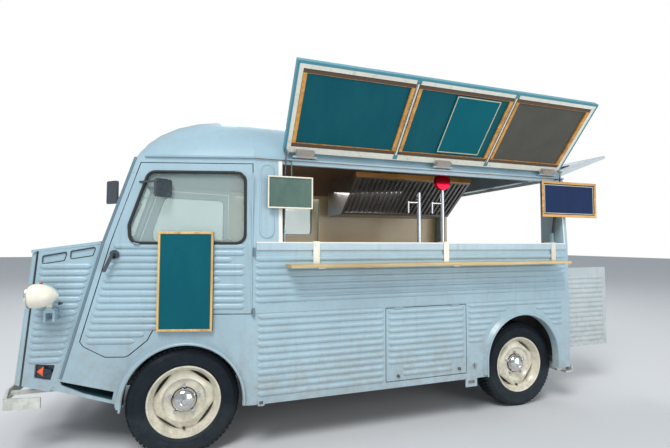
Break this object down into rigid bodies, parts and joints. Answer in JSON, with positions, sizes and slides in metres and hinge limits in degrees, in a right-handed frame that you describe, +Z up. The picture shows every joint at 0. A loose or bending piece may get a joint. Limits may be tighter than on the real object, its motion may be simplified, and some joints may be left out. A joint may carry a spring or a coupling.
{
  "type": "food truck",
  "caption": "Food truck on a vintage corrugated-steel delivery van, serving hatch and rear doors open, with menu boards and counter shelf.",
  "frame": {"origin": "on the ground below the middle of the whole vehicle as it stands, hatch and rear doors open", "axes": "+X towards the back, +Y towards the right-hand side, +Z up"},
  "size_m": [4.8176, 2.3866, 2.3788],
  "materials": {
    "body_paint": "semi-gloss, weathered",
    "trim_paint": "semi-gloss",
    "dark_metal": "matt",
    "cast_metal": "rough",
    "wheel_paint": "gloss",
    "tyre_rubber": "matt",
    "bright_metal": "polished",
    "clear_glass": "clear",
    "lamp_plastic": "gloss",
    "board": "painted, satin",
    "timber": "oiled",
    "hood_steel": "brushed",
    "seat_cover": "worn",
    "black_plastic": "matt"
  },
  "bodies": {
    "body": {"cab_shell": "body_paint", "cab_roof": "body_paint", "load_roof": "body_paint", "side_left": "body_paint", "side_right": "body_paint", "rear_frame": "body_paint", "nose_sides": "body_paint", "front_cowl": "body_paint", "headlamps": "body_paint", "serving_sill": "trim_paint", "bumpers": "trim_paint", "shelf_brackets": "trim_paint", "hatch_fittings": "trim_paint", "chassis_frame": "dark_metal", "front_suspension": "dark_metal", "rear_axle": "dark_metal", "cab_floor": "dark_metal", "load_floor": "dark_metal", "engine_block": "cast_metal", "tap_column": "bright_metal", "windscreen": "clear_glass", "headlamp_glasses": "clear_glass", "indicators": "lamp_plastic", "side_signs": "board", "counter_shelf": "timber", "worktop": "timber", "extraction_hood": "hood_steel", "seats": "seat_cover", "dashboard": "black_plastic"},
    "steer_left": {"knuckle_left": "dark_metal"},
    "steer_right": {"knuckle_right": "dark_metal"},
    "wheel_front_left": {"rim_front_left": "wheel_paint", "tyre_front_left": "tyre_rubber"},
    "wheel_front_right": {"rim_front_right": "wheel_paint", "tyre_front_right": "tyre_rubber"},
    "wheel_rear_left": {"rim_rear_left": "wheel_paint", "tyre_rear_left": "tyre_rubber"},
    "wheel_rear_right": {"rim_rear_right": "wheel_paint", "tyre_rear_right": "tyre_rubber"},
    "door_left": {"cab_door_left": "body_paint", "door_fittings_left": "bright_metal", "door_glass_left": "clear_glass", "door_board": "board"},
    "door_right": {"cab_door_right": "body_paint", "door_fittings_right": "bright_metal", "door_glass_right": "clear_glass"},
    "bonnet": {"bonnet_lid": "body_paint"},
    "hatch": {"serving_hatch": "trim_paint", "menu_boards": "board", "board_frames": "timber"},
    "tubes": {"strut_tubes": "dark_metal"},
    "rods": {"strut_rods": "bright_metal"},
    "tail": {"tailgate": "body_paint", "tailgate_glass": "clear_glass"},
    "leaf_left": {"rear_door_left": "body_paint"},
    "leaf_right": {"rear_door_right": "body_paint"},
    "locker": {"locker_flap_left": "body_paint"},
    "slider": {"sliding_door_right": "body_paint", "slide_glass": "clear_glass"},
    "steering": {"steering_wheel": "black_plastic"}
  },
  "joints": [
    {"name": "steering_wheel", "type": "hinge", "parent": "body", "child": "steering", "pos_m": [-1.55553, -0.28773, 1.18], "axis": [0.5736, 0, 0.8192], "range_deg": [-480, 480]},
    {"name": "steer_left", "type": "hinge", "parent": "body", "child": "steer_left", "pos_m": [-1.34053, -0.61873, 0.328], "axis": [0, 0, 1], "range_deg": [-32, 32]},
    {"name": "steer_right", "type": "hinge", "parent": "body", "child": "steer_right", "pos_m": [-1.34053, 0.90327, 0.328], "axis": [0, 0, 1], "range_deg": [-32, 32]},
    {"name": "wheel_front_left", "type": "hinge", "parent": "steer_left", "child": "wheel_front_left", "pos_m": [-1.34053, -0.66873, 0.328], "axis": [0, 1, 0], "continuous": true},
    {"name": "wheel_front_right", "type": "hinge", "parent": "steer_right", "child": "wheel_front_right", "pos_m": [-1.34053, 0.95327, 0.328], "axis": [0, 1, 0], "continuous": true},
    {"name": "wheel_rear_left", "type": "hinge", "parent": "body", "child": "wheel_rear_left", "pos_m": [1.18947, -0.67773, 0.328], "axis": [0, 1, 0], "continuous": true},
    {"name": "wheel_rear_right", "type": "hinge", "parent": "body", "child": "wheel_rear_right", "pos_m": [1.18947, 0.96227, 0.328], "axis": [0, 1, 0], "continuous": true},
    {"name": "cab_door_left", "type": "hinge", "parent": "body", "child": "door_left", "pos_m": [-0.95553, -0.83973, 1.2], "axis": [0, 0, 1], "range_deg": [0, 70]},
    {"name": "cab_door_right", "type": "hinge", "parent": "body", "child": "door_right", "pos_m": [-0.95553, 1.12427, 1.2], "axis": [0, 0, -1], "range_deg": [0, 70]},
    {"name": "bonnet_lid", "type": "hinge", "parent": "body", "child": "bonnet", "pos_m": [-1.84853, 0.14227, 1.312], "axis": [0, 1, 0], "range_deg": [0, 45]},
    {"name": "serving_hatch", "type": "hinge", "parent": "body", "child": "hatch", "pos_m": [0.41547, -0.83273, 1.862], "axis": [1, 0, 0], "range_deg": [0, 138.4]},
    {"name": "strut_swing", "type": "hinge", "parent": "body", "child": "tubes", "pos_m": [0.41547, -0.75073, 1.372], "axis": [1, 0, 0], "range_deg": [-0.5, 1.74]},
    {"name": "strut_slide", "type": "slide", "parent": "tubes", "child": "rods", "axis": [0, 0.1755, -0.9845], "range_m": [0, 0.0565]},
    {"name": "tailgate", "type": "hinge", "parent": "body", "child": "tail", "pos_m": [1.64947, 0.14227, 1.882], "axis": [0, 1, 0], "range_deg": [0, 110]},
    {"name": "rear_door_left", "type": "hinge", "parent": "body", "child": "leaf_left", "pos_m": [1.64947, -0.59473, 0.72], "axis": [0, 0, 1], "range_deg": [0, 90]},
    {"name": "rear_door_right", "type": "hinge", "parent": "body", "child": "leaf_right", "pos_m": [1.64947, 0.87927, 0.72], "axis": [0, 0, -1], "range_deg": [0, 90]},
    {"name": "locker_flap", "type": "hinge", "parent": "body", "child": "locker", "pos_m": [0.29847, -0.84773, 0.841], "axis": [-1, 0, 0], "range_deg": [0, 100]},
    {"name": "sliding_door", "type": "slide", "parent": "body", "child": "slider", "axis": [1, 0, 0], "range_m": [0, 0.82]}
  ],
  "couplings": [
    {"joint": "steer_left", "follows": "steering_wheel", "ratio": 0.066667},
    {"joint": "steer_right", "follows": "steering_wheel", "ratio": 0.066667},
    {"joint": "strut_swing", "follows": "serving_hatch", "ratio": 0.008948},
    {"joint": "strut_slide", "follows": "serving_hatch", "m_per_rad": 0.022577}
  ]
}
